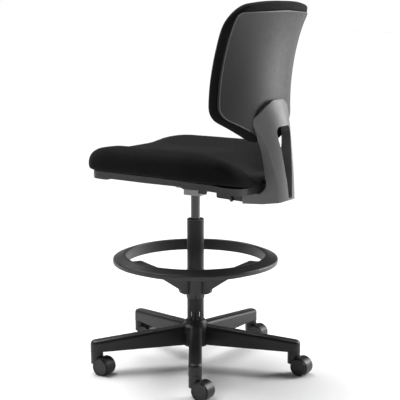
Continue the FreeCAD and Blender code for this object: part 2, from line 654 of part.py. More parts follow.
def back_lock_lever():
    """Small slanted tab on the bracket's side that locks the back."""
    boss = rod(6.0, (LOCK_X - 4, LOCK_Y, LOCK_Z), (LOCK_X + 2, LOCK_Y, LOCK_Z))
    pin = rod(3.0, (BRACKET_HALF_WIDTH - 8, LOCK_Y, LOCK_Z), (LOCK_X, LOCK_Y, LOCK_Z))
    tab = prism([(LOCK_Y - 5, LOCK_Z + 2, 3), (LOCK_Y + 6, LOCK_Z - 19, 3), (LOCK_Y + 15, LOCK_Z - 19, 3),
                 (LOCK_Y + 5, LOCK_Z + 2, 3)], side(LOCK_X - 4), Vector(6, 0, 0))
    return fused([boss, pin, tab])


# ---- seat ---------------------------------------------------------------------------

def screw_places():
    return [(x, y) for x in (-SEAT_SCREW_X, SEAT_SCREW_X) for y in SEAT_SCREW_Y]


def screw_holes(low, high):
    return [rod(SEAT_SCREW_R + 0.1, (x, y, low), (x, y, high)) for x, y in screw_places()]


def seat_screws():
    screws = []
    for x, y in screw_places():
        shank = rod(SEAT_SCREW_R, (x, y, TILT_PLATE_Z - 0.05), (x, y, SEAT_SCREW_TOP))
        head = rod(7.0, (x, y, TILT_PLATE_Z - 4), (x, y, TILT_PLATE_Z - 0.05))
        screws.append(fused([head, shank]))
    return screws


def seat_outline(half_width, rear_half_width, front_y, rear_y, front_radius, rear_radius):
    """Plan of the seat: nearly parallel sides that draw in towards a rounder rear."""
    return [(-half_width + 6, front_y, front_radius), (half_width - 6, front_y, front_radius),
            (half_width, -40, 300), (half_width - 6, rear_y - 150, 200),
            (rear_half_width, rear_y, rear_radius), (-rear_half_width, rear_y, rear_radius),
            (-half_width + 6, rear_y - 150, 200), (-half_width, -40, 300)]


def between(low_line, high_line):
    """Everything between two (Y, height) lines, across the whole width."""
    return prism(sharp(low_line + high_line[::-1]), side(-300), Vector(600, 0, 0))


def raised(line, rise):
    return [(y, z + rise) for y, z in line]


def pan_blank(inset, rear=PAN_REAR):
    outline = seat_outline(PAN_HALF_WIDTH - inset, PAN_REAR_HALF_WIDTH - inset, PAN_FRONT + inset,
                           rear - inset, PAN_FRONT_R - inset, PAN_REAR_R - inset)
    return prism(outline, plan(530), Vector(0, 0, 90))


def seat_pan():
    """Shallow moulded tray: a floor and a side band, with a deeper lip in front and a dip behind."""
    pan = pan_blank(0).common(between(PAN_BAND_LINE, PAN_TOP_LINE))
    well = pan_blank(PAN_WALL).common(between(raised(PAN_FLOOR_LINE, PAN_WALL), raised(PAN_TOP_LINE, 30)))
    recess = pan_blank(PAN_WALL).common(between(raised(PAN_BAND_LINE, -20), PAN_FLOOR_LINE))
    pan = pan.cut(well).cut(recess)
    plate_top = TILT_PLATE_Z + TILT_PLATE_THICK + 0.05
    pads = [rod(11.0, (x, y, plate_top), (x, y, 585.0)) for x, y in screw_places()]
    return fused([pan] + pads).cut(Part.makeCompound(screw_holes(570, 600)))


def seat_board():
    low = raised(PAN_FLOOR_LINE, PAN_WALL + BOARD_GAP)
    board = pan_blank(PAN_WALL + 2, BOARD_REAR).common(between(low, raised(low, BOARD_THICK)))
    return board.cut(Part.makeCompound(screw_holes(570, 600)))


def seat_cushion():
    """Plain upholstered block: narrow at its foot, full at mid height, crowned on top."""
    sections = []
    for z, inset in CUSHION_SECTIONS:
        outline = seat_outline(CUSHION_HALF_WIDTH - inset, CUSHION_REAR_HALF_WIDTH - inset,
                               CUSHION_FRONT + inset, CUSHION_REAR - inset * 0.6,
                               CUSHION_FRONT_R, CUSHION_REAR_R - inset * 0.5)
        sections.append(rounded_wire(outline, plan(z)))
    block = Part.makeLoft(sections, True, False)
    return block.common(between(raised(PAN_TOP_LINE, SKIN), CUSHION_TOP_LINE))


# ---- back ---------------------------------------------------------------------------

def back_outline(half, top, shoulder, low_inset, corner_radius):
    """Front view of the back: a crowned top, and sides that converge below."""
    corner = BACK_CORNER_Z + low_inset * 0.5
    foot = 60.0
    low = BACK_BOTTOM + low_inset
    return [(-half + 5, shoulder, corner_radius), (0, top, 300), (half - 5, shoulder, corner_radius),
            (half, 860, 300), (half, corner, 48), (foot, low, 60), (-foot, low, 60), (-half, corner, 48),
            (-half, 860, 300)]


def cushion_outline(grown=0.0):
    return back_outline(BACK_HALF_WIDTH + grown, BACK_TOP + grown, BACK_SHOULDER_Z + grown, -grown, BACK_CORNER_R)


def shell_outline(grown=0.0):
    return back_outline(BACK_HALF_WIDTH - SHELL_SIDE_INSET + grown, SHELL_TOP + grown,
                        SHELL_SHOULDER_Z + grown, SHELL_LOW_INSET - grown, SHELL_CORNER_R)


def bowed_slab(rear_offset, front_edge, front_middle):
    """A slab between two bowed faces, given by their distance from the upholstery's rear face."""
    half = BACK_HALF_WIDTH + 6
    sections = []
    for z, edge, bow in BACK_PROFILE:
        rear = [Vector(-half, edge + rear_offset, z), Vector(0, edge + bow + rear_offset, z),
                Vector(half, edge + rear_offset, z)]
        face = [Vector(half, edge + front_edge, z), Vector(0, edge + bow + front_middle, z),
                Vector(-half, edge + front_edge, z)]
        sections.append(Part.Wire([
            Part.Arc(*rear).toShape(),
            Part.makeLine(rear[2], face[0]),
            Part.Arc(*face).toShape(),
            Part.makeLine(face[2], rear[0]),
        ]))
    return Part.makeLoft(sections, True, False)


def back_cushion():
    """Plain upholstered slab with a pocket in its rear face for the shell."""
    slab = bowed_slab(0, -BACK_EDGE_THICK, -BACK_MIDDLE_THICK)
    slab = slab.common(prism(cushion_outline(), front(0), Vector(0, 500, 0)))
    pocket = bowed_slab(20, SHELL_PROUD - SHELL_THICK - SKIN, SHELL_PROUD - SHELL_THICK - SKIN)
    return slab.cut(pocket.common(prism(shell_outline(SKIN), front(0), Vector(0, 500, 0))))


def back_shell():
    slab = bowed_slab(SHELL_PROUD, SHELL_PROUD - SHELL_THICK, SHELL_PROUD - SHELL_THICK)
    return slab.common(prism(shell_outline(), front(0), Vector(0, 500, 0)))


def upright_outline():
    """Rear view of the upright: legs that spread upward and an arch across the shell."""
    return [(-49, 490, 0), (49, 490, 0), (49, 575, 200), (65, 676, 300), (81, 727, 200), (103, 762, 5),
            (64, 799, 60), (28, 817, 40), (-28, 817, 40), (-64, 799, 60), (-103, 762, 5),
            (-81, 727, 200), (-65, 676, 300), (-49, 575, 200)]


def slot_outline():
    return [(-10, 540, 9), (10, 540, 9), (14, 580, 100), (28, 676, 200), (42, 744, 18),
            (-42, 744, 18), (-28, 676, 200), (-14, 580, 100)]


def back_upright():
    """Two deep legs joined in an arch behind the shell, bent forward into a foot under the seat."""
    sections = []
    for z, rear, radius, half, face, bow in UPRIGHT_PROFILE:
        corner = rear - (radius - math.sqrt(radius ** 2 - half ** 2))
        sections.append(Part.Wire([
            Part.Arc(Vector(-half, corner, z), Vector(0, rear, z), Vector(half, corner, z)).toShape(),
            Part.makeLine(Vector(half, corner, z), Vector(half, face, z)),
            Part.Arc(Vector(half, face, z), Vector(0, face + bow, z), Vector(-half, face, z)).toShape(),
            Part.makeLine(Vector(-half, face, z), Vector(-half, corner, z)),
        ]))
    legs = Part.makeLoft(sections, True, False)
    foot = box((-60, J_FRONT, J_BOTTOM), (60, 275, J_TOP + 30))
    blade = fused([legs, foot])
    blade = blade.common(prism(upright_outline(), front(100), Vector(0, 300, 0)))
    profile = [(J_FRONT, J_BOTTOM, 0), (258, J_BOTTOM + 4, 60), (J_REAR, J_BOTTOM + 15, 18),
               (J_REAR, 860, 0), (190, 860, 0), (200, 775, 100), (262, 640, 200), (271, J_TOP + 22, 25),
               (250, J_TOP, 10), (J_FRONT, J_TOP, 0)]
    blade = blade.common(prism(profile, side(-130), Vector(260, 0, 0)))
    blade = blade.cut(prism(slot_outline(), front(100), Vector(0, 300, 0)))
    keep_out = bowed_slab(SHELL_PROUD + 0.05, -80, -80)
    keep_out = keep_out.common(prism(cushion_outline(8), front(0), Vector(0, 500, 0)))
    blade = blade.cut(keep_out)
    tongue = box((-30, 132, J_BOTTOM + 14), (30, J_FRONT + 1, J_TOP))
    return fused([blade, tongue])


# ---- build --------------------------------------------------------------------------

os.makedirs("parts", exist_ok=True)

save("star_base", star_base())
save("column_tube", column_tube())
save("column_guide_bush", column_guide_bush())
save("thrust_bearing", thrust_bearing())
save("lift_rod", lift_rod())
save("rod_clip", rod_clip())
save("piston", piston())
save("gas_cylinder", gas_cylinder())
save("release_pin", release_pin())
save("foot_ring", foot_ring())
save("foot_ring_collet", foot_ring_collet())
save_casters()
save("mechanism_hub", mechanism_hub())
save("mechanism_housing", mechanism_housing())
save("tilt_pivot_pin", tilt_pivot_pin())
save("tilt_plate", tilt_plate())
save("tension_bolt", tension_bolt())
save("tension_knob", tension_knob())
save("tilt_spring", tilt_spring())
save("spring_washer", spring_washer())
save("height_lever", height_lever())
save("lever_grip", lever_grip())
save("back_bracket", back_bracket())
save("back_lock_lever", back_lock_lever())
save_group("seat_screws", seat_screws())
save("seat_pan", seat_pan())
save("seat_board", seat_board())
save("seat_cushion", seat_cushion())
save("back_shell", back_shell())
save("back_cushion", back_cushion())
save("back_upright", back_upright())
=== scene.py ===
import json
import math

import bmesh
import bpy
import numpy as np
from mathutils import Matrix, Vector
from mathutils.bvhtree import BVHTree


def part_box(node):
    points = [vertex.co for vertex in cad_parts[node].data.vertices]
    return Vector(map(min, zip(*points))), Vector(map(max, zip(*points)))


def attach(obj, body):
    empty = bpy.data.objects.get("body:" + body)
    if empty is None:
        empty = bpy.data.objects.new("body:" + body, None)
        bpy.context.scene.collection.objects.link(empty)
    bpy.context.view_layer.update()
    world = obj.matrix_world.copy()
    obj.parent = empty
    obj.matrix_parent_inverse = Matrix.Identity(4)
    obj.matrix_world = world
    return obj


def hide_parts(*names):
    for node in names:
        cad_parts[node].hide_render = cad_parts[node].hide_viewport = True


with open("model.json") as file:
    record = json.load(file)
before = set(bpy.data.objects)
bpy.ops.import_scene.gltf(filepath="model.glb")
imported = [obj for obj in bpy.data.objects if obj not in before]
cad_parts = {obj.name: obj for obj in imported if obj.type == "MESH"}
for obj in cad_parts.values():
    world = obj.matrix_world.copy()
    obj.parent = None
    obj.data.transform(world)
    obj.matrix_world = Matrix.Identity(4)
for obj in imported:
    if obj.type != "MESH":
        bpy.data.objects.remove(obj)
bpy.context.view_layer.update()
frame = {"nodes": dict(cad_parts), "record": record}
nodes = frame["nodes"]


# ---- camera and studio ----------------------------------------------------------------

def aim(obj, place, target):
    obj.location = place
    obj.rotation_euler = (Vector(target) - Vector(place)).to_track_quat("-Z", "Y").to_euler()


CAMERA_PLACE = (2.6569, 1.7415, 1.0507)
CAMERA_AZIMUTH = 33.0
CAMERA_PITCH = 9.7465
CAMERA_LENS = 97.004


def make_camera():
    azimuth = math.radians(CAMERA_AZIMUTH)
    pitch = math.radians(CAMERA_PITCH)
    place = Vector(CAMERA_PLACE)
    level = math.cos(pitch)
    look = Vector((-math.cos(azimuth) * level, -math.sin(azimuth) * level, -math.sin(pitch)))
    data = bpy.data.cameras.new("camera")
    data.lens = CAMERA_LENS
    data.sensor_width = 36.0
    camera = bpy.data.objects.new("camera", data)
    bpy.context.scene.collection.objects.link(camera)
    aim(camera, place, place + look)
    bpy.context.scene.camera = camera


def area_light(name, place, target, size, power):
    data = bpy.data.lights.new(name, "AREA")
    data.shape = "RECTANGLE"
    data.size, data.size_y = size
    data.energy = power
    light = bpy.data.objects.new(name, data)
    bpy.context.scene.collection.objects.link(light)
    aim(light, place, target)


def sun(name, direction, softness, strength):
    data = bpy.data.lights.new(name, "SUN")
    data.angle = math.radians(softness)
    data.energy = strength
    light = bpy.data.objects.new(name, data)
    bpy.context.scene.collection.objects.link(light)
    aim(light, (0, 0, 3), Vector((0, 0, 3)) + Vector(direction))


FLOOR_HALF = 60.0      # wide enough that its far edge meets the horizon


def make_studio():
    """A soft key from the right, a scrim overhead, and a white horizon that the floor runs out to."""
    middle = (0, 0, 0.75)
    area_light("key_softbox", (-2.3, 1.7, 1.7), (0, 0.1, 0.8), (1.3, 2.4), 100.0)
    area_light("left_strip", (1.9, -2.0, 1.3), middle, (0.7, 2.2), 3.0)
    area_light("camera_fill", (3.0, 2.6, 1.6), middle, (1.8, 1.8), 1.5)
    sun("overhead_scrim", (0.10, 0.45, -1), 50.0, 3.8)
    world = bpy.data.worlds.new("studio")
    world.use_nodes = True
    tree = world.node_tree
    sky = tree.nodes["Background"]
    sky.inputs["Color"].default_value = (1, 1, 1, 1)
    direction = tree.nodes.new("ShaderNodeTexCoord")
    split = tree.nodes.new("ShaderNodeSeparateXYZ")
    band = tree.nodes.new("ShaderNodeMapRange")
    tree.links.new(direction.outputs["Generated"], split.inputs[0])
    tree.links.new(split.outputs["Z"], band.inputs["Value"])
    band.inputs["From Min"].default_value = 0.04
    band.inputs["From Max"].default_value = 0.16
    band.inputs["To Min"].default_value = 1.0
    band.inputs["To Max"].default_value = 0.05
    tree.links.new(band.outputs["Result"], sky.inputs["Strength"])
    bpy.context.scene.world = world
    bpy.context.scene.view_settings.view_transform = "Standard"

    floor_mesh = bpy.data.meshes.new("studio_floor")
    r = FLOOR_HALF
    floor_mesh.from_pydata([(-r, -r, 0), (r, -r, 0), (r, r, 0), (-r, r, 0)], [], [(0, 1, 2, 3)])
    floor = bpy.data.objects.new("studio_floor", floor_mesh)
    bpy.context.scene.collection.objects.link(floor)
    material = bpy.data.materials.new("floor_paint")
    material.use_nodes = True
    shader = material.node_tree.nodes["Principled BSDF"]
    shader.inputs["Base Color"].default_value = (0.92, 0.92, 0.92, 1)
    shader.inputs["Roughness"].default_value = 0.75
    floor.data.materials.append(material)


# ---- materials ------------------------------------------------------------------------

class Nodes:
    """Short calls for building a material's node tree."""

    def __init__(self, name):
        self.material = bpy.data.materials.new(name)
        self.material.use_nodes = True
        self.tree = self.material.node_tree
        self.shader = self.tree.nodes["Principled BSDF"]
        self.place = self.new("ShaderNodeTexCoord").outputs["Object"]

    def new(self, kind, **values):
        node = self.tree.nodes.new(kind)
        for key, value in values.items():
            setattr(node, key, value)
        return node

    def link(self, source, target):
        self.tree.links.new(source, target)

    def set(self, socket, value):
        self.shader.inputs[socket].default_value = value

    def noise(self, scale, detail=3.0, roughness=0.55):
        node = self.new("ShaderNodeTexNoise")
        node.inputs["Scale"].default_value = scale
        node.inputs["Detail"].default_value = detail
        node.inputs["Roughness"].default_value = roughness
        self.link(self.place, node.inputs["Vector"])
        return node.outputs["Fac"]

    def cells(self, scale):
        node = self.new("ShaderNodeTexVoronoi")
        node.inputs["Scale"].default_value = scale
        self.link(self.place, node.inputs["Vector"])
        return node.outputs["Distance"]

    def spread(self, source, low, high, start=0.3, end=0.7):
        node = self.new("ShaderNodeMapRange")
        node.inputs["From Min"].default_value = start
        node.inputs["From Max"].default_value = end
        node.inputs["To Min"].default_value = low
        node.inputs["To Max"].default_value = high
        self.link(source, node.inputs["Value"])
        return node.outputs["Result"]

    def math(self, kind, a, b):
        node = self.new("ShaderNodeMath", operation=kind)
        for socket, value in ((node.inputs[0], a), (node.inputs[1], b)):
            if isinstance(value, (int, float)):
                socket.default_value = value
            else:
                self.link(value, socket)
        return node.outputs[0]

    def blend(self, factor, first, second):
        node = self.new("ShaderNodeMix", data_type="RGBA")
        self.link(factor, node.inputs["Factor"])
        node.inputs["A"].default_value = (*first, 1)
        node.inputs["B"].default_value = (*second, 1)
        return node.outputs["Result"]

    def bump(self, height, distance, strength=1.0, over=None):
        node = self.new("ShaderNodeBump")
        node.inputs["Distance"].default_value = distance
        node.inputs["Strength"].default_value = strength
        self.link(height, node.inputs["Height"])
        if over is not None:
            self.link(over, node.inputs["Normal"])
        return node.outputs["Normal"]

    def edge(self, radius):
        node = self.new("ShaderNodeBevel", samples=4)
        node.inputs["Radius"].default_value = radius
        return node.outputs["Normal"]


def lighter(colour, factor):
    return tuple(min(1.0, c * factor) for c in colour)


def plastic(name, colour, rough, grain=1600.0, grain_depth=0.00010, edge=0.0009, spec=0.5):
    m = Nodes(name)
    cloud = m.noise(9.0, 4.0)
    tone = m.blend(m.spread(cloud, 0, 1), lighter(colour, 0.88), lighter(colour, 1.12))
    m.link(tone, m.shader.inputs["Base Color"])
    scuffs = m.noise(60.0, 6.0, 0.7)
    m.link(m.spread(scuffs, rough - 0.05, rough + 0.07), m.shader.inputs["Roughness"])
    m.set("Specular IOR Level", spec)
    pits = m.math("ADD", m.cells(grain), m.math("MULTIPLY", m.noise(grain * 0.35, 2.0), 0.8))
    m.link(m.bump(pits, grain_depth, 0.6, m.edge(edge)), m.shader.inputs["Normal"])
    return m.material


def paint(name, colour, rough, edge=0.0007, coat=0.3):
    m = Nodes(name)
    cloud = m.noise(14.0, 5.0)
    tone = m.blend(m.spread(cloud, 0, 1), lighter(colour, 0.85), lighter(colour, 1.15))
    m.link(tone, m.shader.inputs["Base Color"])
    m.link(m.spread(m.noise(110.0, 5.0), rough - 0.05, rough + 0.08), m.shader.inputs["Roughness"])
    m.set("Coat Weight", coat)
    m.set("Coat Roughness", 0.12)
    m.set("Specular IOR Level", 0.3)
    m.link(m.bump(m.noise(420.0, 3.0), 0.00012, 0.5, m.edge(edge)), m.shader.inputs["Normal"])
    return m.material


def metal(name, colour, rough, stretch=(1, 1, 1), edge=0.0004):
    m = Nodes(name)
    mapping = m.new("ShaderNodeMapping")
    mapping.inputs["Scale"].default_value = stretch
    m.link(m.place, mapping.inputs["Vector"])
    m.place = mapping.outputs["Vector"]
    brushed = m.noise(500.0, 4.0, 0.65)
    tone = m.blend(m.spread(brushed, 0, 1), lighter(colour, 0.85), lighter(colour, 1.1))
    m.link(tone, m.shader.inputs["Base Color"])
    m.set("Metallic", 1.0)
    m.link(m.spread(brushed, rough - 0.06, rough + 0.08), m.shader.inputs["Roughness"])
    m.link(m.bump(brushed, 0.00004, 0.5, m.edge(edge)), m.shader.inputs["Normal"])
    return m.material


def ply(name, colour):
    m = Nodes(name)
    mapping = m.new("ShaderNodeMapping")
    mapping.inputs["Scale"].default_value = (12, 1.2, 60)
    m.link(m.place, mapping.inputs["Vector"])
    m.place = mapping.outputs["Vector"]
    grain = m.noise(9.0, 6.0, 0.7)
    tone = m.blend(m.spread(grain, 0, 1), lighter(colour, 0.65), lighter(colour, 1.1))
    m.link(tone, m.shader.inputs["Base Color"])
    m.set("Roughness", 0.7)
    m.link(m.bump(grain, 0.0004, 0.6), m.shader.inputs["Normal"])
    return m.material


def fabric(name, colour, pitch=0.0016, depth=0.00022, sheen=0.03):
    """A plain weave: crossing threads laid along whichever two axes the surface spans."""
    m = Nodes(name)
    split = m.new("ShaderNodeSeparateXYZ")
    m.link(m.place, split.inputs[0])
    wobble = m.math("MULTIPLY", m.noise(45.0, 2.0), pitch * 1.2)
    waves = {}
    for axis in "XYZ":
        moved = m.math("ADD", split.outputs[axis], wobble)
        waves[axis] = m.math("SINE", m.math("MULTIPLY", moved, 2 * math.pi / pitch), 0)
    facing = m.new("ShaderNodeSeparateXYZ")
    m.link(m.new("ShaderNodeNewGeometry").outputs["True Normal"], facing.inputs[0])
    weave = None
    for normal_axis, (a, b) in {"X": "YZ", "Y": "XZ", "Z": "XY"}.items():
        share = m.math("MULTIPLY", facing.outputs[normal_axis], facing.outputs[normal_axis])
        crossing = m.math("MULTIPLY", waves[a], waves[b])
        part = m.math("MULTIPLY", crossing, share)
        weave = part if weave is None else m.math("ADD", weave, part)
    fuzz = m.noise(900.0, 4.0, 0.7)
    thread = m.math("ADD", weave, m.math("MULTIPLY", fuzz, 0.9))
    tone = m.blend(m.spread(thread, 0, 1, -0.4, 1.4), lighter(colour, 0.7), lighter(colour, 1.4))
    cloud = m.blend(m.spread(m.noise(7.0, 4.0), 0, 1), (0.86, 0.86, 0.86), (1.14, 1.14, 1.14))
    mixed = m.new("ShaderNodeMix", data_type="RGBA", blend_type="MULTIPLY")
    mixed.inputs["Factor"].default_value = 1.0
    m.link(tone, mixed.inputs["A"])
    m.link(cloud, mixed.inputs["B"])
    m.link(mixed.outputs["Result"], m.shader.inputs["Base Color"])
    m.link(m.spread(fuzz, 0.78, 0.92), m.shader.inputs["Roughness"])
    m.set("Specular IOR Level", 0.13)
    m.set("Sheen Weight", sheen)
    m.set("Sheen Roughness", 0.45)
    m.link(m.bump(thread, depth, 0.8), m.shader.inputs["Normal"])
    return m.material


def thread_material(name, colour):
    m = Nodes(name)
    twist = m.noise(1800.0, 2.0)
    tone = m.blend(m.spread(twist, 0, 1), lighter(colour, 0.7), lighter(colour, 1.5))
    m.link(tone, m.shader.inputs["Base Color"])
    m.set("Roughness", 0.6)
    m.set("Sheen Weight", 0.2)
    m.link(m.bump(twist, 0.0002, 0.6), m.shader.inputs["Normal"])
    return m.material


def dress_cad():
    finishes = {
        "base_plastic": plastic("base_plastic", (0.010, 0.010, 0.011), 0.40, 1400, spec=0.4),
        "column_paint": paint("column_paint", (0.004, 0.004, 0.0045), 0.34, coat=0.0),
        "cylinder_paint": paint("cylinder_paint", (0.012, 0.012, 0.013), 0.12, coat=0.8),
        "trim_light": plastic("trim_light", (0.060, 0.060, 0.061), 0.40),
        "steel": metal("steel", (0.50, 0.50, 0.51), 0.30),
        "chrome": metal("chrome", (0.75, 0.75, 0.76), 0.10),
        "ring_plastic": plastic("ring_plastic", (0.020, 0.020, 0.021), 0.40, 1400),
        "zinc": metal("zinc", (0.22, 0.22, 0.22), 0.46),
        "mech_paint": paint("mech_paint", (0.008, 0.008, 0.009), 0.40),
        "handle_plastic": plastic("handle_plastic", (0.016, 0.016, 0.016), 0.40),
        "pan_plastic": plastic("pan_plastic", (0.018, 0.018, 0.019), 0.46, 1300, 0.00014),
        "plywood": ply("plywood", (0.55, 0.40, 0.25)),
        "shell_plastic": plastic("shell_plastic", (0.013, 0.013, 0.014), 0.44, 1100, 0.00016, spec=0.32),
        "upright_plastic": plastic("upright_plastic", (0.105, 0.105, 0.108), 0.46, 1100, 0.00016),
        "caster_plastic": plastic("caster_plastic", (0.011, 0.011, 0.012), 0.36, 1500, spec=0.4),
        "wheel_plastic": plastic("wheel_plastic", (0.009, 0.009, 0.010), 0.30, 1500, 0.00005),
    }
    for entry in frame["record"]["subparts"]:
        finish = finishes.get(entry["material_slot"])
        if finish is None:
            continue
        mesh = nodes[entry["node"]].data
        mesh.materials.clear()
        mesh.materials.append(finish)


# ---- soft pieces ----------------------------------------------------------------------

def tree_of(node):
    obj = nodes[node]
    bm = bmesh.new()
    bm.from_mesh(obj.data)
    tree = BVHTree.FromBMesh(bm)
    bm.free()
    return tree


def reach(node, plane, centre, count):
    """How far the node spreads from a centre, in a plane of two axes, in each of count directions."""
    co = np.array([v.co for v in nodes[node].data.vertices])[:, plane] - np.array(centre)
    hull = convex(co)
    result = []
    for k in range(count):
        a = 2 * math.pi * k / count
        d = np.array([math.cos(a), math.sin(a)])
        best = 0.0
        for p, q in zip(hull, np.roll(hull, -1, axis=0)):
            edge = q - p
            det = d[0] * -edge[1] + d[1] * edge[0]
            if abs(det) < 1e-12:
                continue
            t = (p[0] * -edge[1] + p[1] * edge[0]) / det
            s = (d[0] * p[1] - d[1] * p[0]) / det
            if t > 0 and -1e-6 <= s <= 1 + 1e-6:
                best = max(best, t)
        result.append(best)
    return np.array(result)


def convex(points):
    """The convex hull of points in a plane, in order round it."""
    pts = sorted(map(tuple, np.round(points, 6)))

    def half(sequence):
        out = []
        for p in sequence:
            while len(out) > 1:
                (ax, ay), (bx, by) = out[-2], out[-1]
                if (bx - ax) * (p[1] - ay) - (by - ay) * (p[0] - ax) <= 0:
                    out.pop()
                else:
                    break
            out.append(p)
        return out[:-1]

    return np.array(half(pts) + half(pts[::-1]))


def spoke(centre, r, turn):
    """The point at a distance and a turn from a centre."""
    return centre[0] + r * math.cos(turn), centre[1] + r * math.sin(turn)


def smoothed(values, passes):
    for _ in range(passes):
        values = 0.25 * np.roll(values, 1) + 0.5 * values + 0.25 * np.roll(values, -1)
    return values


def ease(t):
    t = min(1.0, max(0.0, t))
    return t * t * (3 - 2 * t)


def closed_rings(name, rings, first_pole, last_pole, material):
    """A closed mesh through rings of equal length, with a point at each end."""
    count = len(rings[0])
    points = [first_pole] + [p for ring in rings for p in ring] + [last_pole]
    faces = []
    for k in range(count):
        faces.append((0, 1 + (k + 1) % count, 1 + k))
    for r in range(len(rings) - 1):
        base = 1 + r * count
        for k in range(count):
            n = (k + 1) % count
            faces.append((base + k, base + n, base + count + n, base + count + k))
    base = 1 + (len(rings) - 1) * count
    end = len(points) - 1
    for k in range(count):
        faces.append((base + k, base + (k + 1) % count, end))
    mesh = bpy.data.meshes.new(name)
    mesh.from_pydata([tuple(p) for p in points], [], faces)
    mesh.materials.append(material)
    bm = bmesh.new()
    bm.from_mesh(mesh)
    bmesh.ops.recalc_face_normals(bm, faces=bm.faces)
    bm.to_mesh(mesh)
    bm.free()
    for face in mesh.polygons:
        face.use_smooth = True
    obj = bpy.data.objects.new(name, mesh)
    bpy.context.scene.collection.objects.link(obj)
    return obj


def relax(obj, factor, repeat):
    """Evens out the mesh a little, as stuffing does."""
    bm = bmesh.new()
    bm.from_mesh(obj.data)
    for _ in range(repeat):
        bmesh.ops.smooth_vert(bm, verts=bm.verts, factor=factor,
                              use_axis_x=True, use_axis_y=True, use_axis_z=True)
    bm.to_mesh(obj.data)
    bm.free()


SEAT_SEGMENTS = 220
CREST_INSET = 0.040            # from the cover's fullest line in to the crest round its top
FOOT_INSET = 0.007
# |X| and how far the scooped rear edge lies below the crest there
REAR_SCOOP_X = [0, 0.035, 0.075, 0.128, 0.169, 0.19, 0.3]
REAR_SCOOP_DROP = [0.084, 0.080, 0.058, 0.038, 0.017, 0.003, 0.0]
# from the foot to the crest: share of the height, and how far in from the fullest line
SEAT_SIDE = [(0.0, FOOT_INSET), (0.03, 0.0042), (0.08, 0.0022), (0.15, 0.0008), (0.24, 0.0), (0.34, 0.0),
             (0.45, 0.0008), (0.56, 0.0026), (0.66, 0.0054), (0.75, 0.0095), (0.83, 0.0150), (0.90, 0.0220),
             (0.96, 0.0305), (0.993, CREST_INSET)]


def seat_crown(x, y, low, high):
    """Height of the seat's upper surface: raised sides, a low middle, a falling front and a scooped rear."""
    half = (high.x - low.x) / 2
    side = abs(x) / half
    z = high.z + 0.0015
    front = ease((y + 0.150) / -0.110)
    z -= front * (0.021 - 0.010 * ease((side - 0.35) / 0.5))
    z -= 0.020 * (1 - ease((side - 0.25) / 0.55)) * (1 - 0.6 * front) * ease((0.26 + y) / 0.2 + 0.2)
    rear = ease((y - 0.075) / 0.185)
    return z - rear * np.interp(abs(x), REAR_SCOOP_X, REAR_SCOOP_DROP)


def make_seat_cushion(material):
    low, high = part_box("seat_cushion")
    tree = tree_of("seat_cushion")
    centre = (0.0, (low.y + high.y) / 2)
    far = smoothed(reach("seat_cushion", [0, 1], centre, SEAT_SEGMENTS), 3)
    turns = [2 * math.pi * k / SEAT_SEGMENTS for k in range(SEAT_SEGMENTS)]

    def at(k, inset):
        return spoke(centre, max(0.0, far[k] - inset), turns[k])

    def foot(x, y):
        hit = tree.ray_cast(Vector((x, y, 0.0)), Vector((0, 0, 1)))[0]
        return hit.z if hit else None

    feet = []
    for k in range(SEAT_SEGMENTS):
        x, y = at(k, FOOT_INSET + 0.008)
        feet.append(foot(x, y) or low.z)
    feet = smoothed(np.array(feet), 4) + 0.0004

    rings = []
    # underside, from the middle out
    for share in (0.25, 0.5, 0.75, 0.92):
        ring = []
        for k in range(SEAT_SEGMENTS):
            x, y = spoke(centre, (far[k] - FOOT_INSET) * share, turns[k])
            ring.append((x, y, (foot(x, y) or feet[k]) + 0.0004))
        rings.append(ring)
    crests = []
    for k in range(SEAT_SEGMENTS):
        x, y = at(k, CREST_INSET)
        crests.append(max(seat_crown(x, y, low, high), feet[k] + 0.020))
    crests = smoothed(np.array(crests), 3)
    # side, from the foot to the crest
    for share, inset in SEAT_SIDE:
        ring = []
        for k in range(SEAT_SEGMENTS):
            x, y = at(k, inset)
            rise = crests[k] - feet[k]
            ring.append((x, y, feet[k] + rise * share))
        rings.append(ring)
    # top, from the crest in
    steps = 34
    for n in range(1, steps):
        share = 1 - n / steps
        ring = []
        for k in range(SEAT_SEGMENTS):
            x, y = spoke(centre, (far[k] - CREST_INSET) * share, turns[k])
            z = seat_crown(x, y, low, high)
            mix = ease((1 - share) / 0.18)
            swell = 0.0012 * math.sin(math.pi * min(1, (1 - share) / 0.3))
            ring.append((x, y, crests[k] * (1 - mix) + z * mix + swell))
        rings.append(ring)
    bottom = (centre[0], centre[1], (foot(*centre) or low.z) + 0.0004)
    top = (centre[0], centre[1], seat_crown(*centre, low, high))
    obj = closed_rings("seat_cushion_cover", rings, bottom, top, material)
    relax(obj, 0.5, 4)
    crease(obj)
    obj.modifiers.new("smooth", "SUBSURF").render_levels = 1
    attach(obj, "seat")
    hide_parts("seat_cushion")


# the tuck from each rear shoulder of the seat down to the middle of its rear edge: |X|, Y, height
CREASE_PATH = [(0.222, 0.150, 0.668), (0.214, 0.196, 0.668), (0.196, 0.224, 0.664), (0.168, 0.242, 0.652),
               (0.128, 0.252, 0.634), (0.076, 0.254, 0.612), (0.034, 0.254, 0.588)]
CREASE_DEPTH = 0.0085
CREASE_WIDTH = 0.009
BULGE_HEIGHT = 0.0050          # of the stuffing that swells below the tuck
BULGE_DISTANCE = 0.032
BULGE_WIDTH = 0.018


